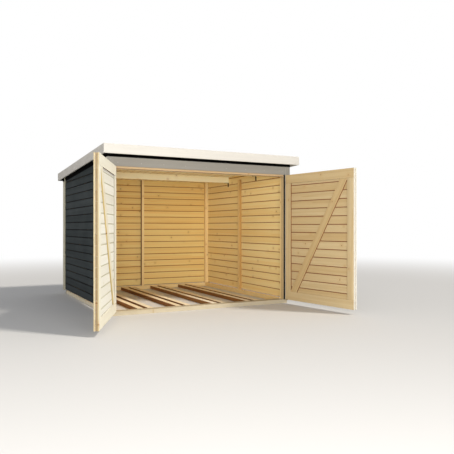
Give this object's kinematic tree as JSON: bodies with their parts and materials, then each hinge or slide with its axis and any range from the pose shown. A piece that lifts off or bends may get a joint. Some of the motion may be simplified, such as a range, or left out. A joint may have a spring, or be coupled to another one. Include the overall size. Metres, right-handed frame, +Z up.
{
  "type": "timber bike shelter shed",
  "caption": "Timber bike shelter: boarded shed with a low single-pitch roof, wheel tracks on the ground and two wide hinged door leaves.",
  "frame": {"origin": "middle of the underside of the front sill, on the ground under the door opening", "axes": "+X to the right along the door front, +Y into the shed towards the back wall, +Z up"},
  "size_m": [3.341, 4.1135, 2.1228],
  "materials": {
    "black_steel": "satin powder coat",
    "dark_steel": "dull",
    "wall_boards": "dark grey paint outside, natural softwood inside",
    "white_trim": "off-white paint",
    "white_fascia": "off-white paint",
    "roof_felt": "mineral felt",
    "roof_boards": "natural softwood",
    "door_trim": "off-white paint",
    "door_boards": "natural softwood inside, dark grey paint outside",
    "door_frame": "planed natural softwood",
    "sill_wood": "planed natural softwood",
    "batten_wood": "planed natural softwood",
    "frame_wood": "planed natural softwood"
  },
  "bodies": {
    "root": {"back_left_post": "frame_wood", "back_right_post": "frame_wood", "back_wall": "wall_boards", "back_wall_stud": "frame_wood", "corner_trim_back_left": "white_trim", "corner_trim_back_right": "white_trim", "corner_trim_front_left": "white_trim", "corner_trim_front_right": "white_trim", "fascia_back": "white_fascia", "fascia_front": "white_fascia", "fascia_left": "white_fascia", "fascia_right": "white_fascia", "front_beam": "frame_wood", "front_left_post": "frame_wood", "front_right_post": "frame_wood", "header_board": "white_trim", "hinge_pintles_left": "black_steel", "hinge_pintles_right": "black_steel", "left_wall": "wall_boards", "left_wall_studs": "frame_wood", "purlin_back": "frame_wood", "purlin_brackets": "dark_steel", "purlin_front": "frame_wood", "right_wall": "wall_boards", "right_wall_studs": "frame_wood", "roof_cover": "roof_felt", "roof_deck": "roof_boards", "sill_back": "sill_wood", "sill_front": "sill_wood", "sill_left": "sill_wood", "sill_right": "sill_wood", "wheel_track_1": "batten_wood", "wheel_track_2": "batten_wood", "wheel_track_3": "batten_wood", "wheel_track_4": "batten_wood"},
    "left_door": {"left_door_boards": "door_boards", "left_door_brace": "door_frame", "left_door_inner_rails": "door_frame", "left_door_inner_stiles": "door_frame", "left_door_outer_rails": "door_trim", "left_door_outer_stiles": "door_trim", "left_door_strap_hinges": "black_steel"},
    "right_door": {"right_door_boards": "door_boards", "right_door_brace": "door_frame", "right_door_handle": "black_steel", "right_door_inner_rails": "door_frame", "right_door_inner_stiles": "door_frame", "right_door_outer_rails": "door_trim", "right_door_outer_stiles": "door_trim", "right_door_strap_hinges": "black_steel"}
  },
  "joints": [
    {"name": "left_door_hinge", "type": "hinge", "parent": "root", "child": "left_door", "pos_m": [-1.28, -0.105, 0], "axis": [0, 0, -1], "range_deg": [-113.7, 36.3]},
    {"name": "right_door_hinge", "type": "hinge", "parent": "root", "child": "right_door", "pos_m": [1.28, -0.105, 0], "axis": [0, 0, 1], "range_deg": [-98.7, 51.3]}
  ]
}
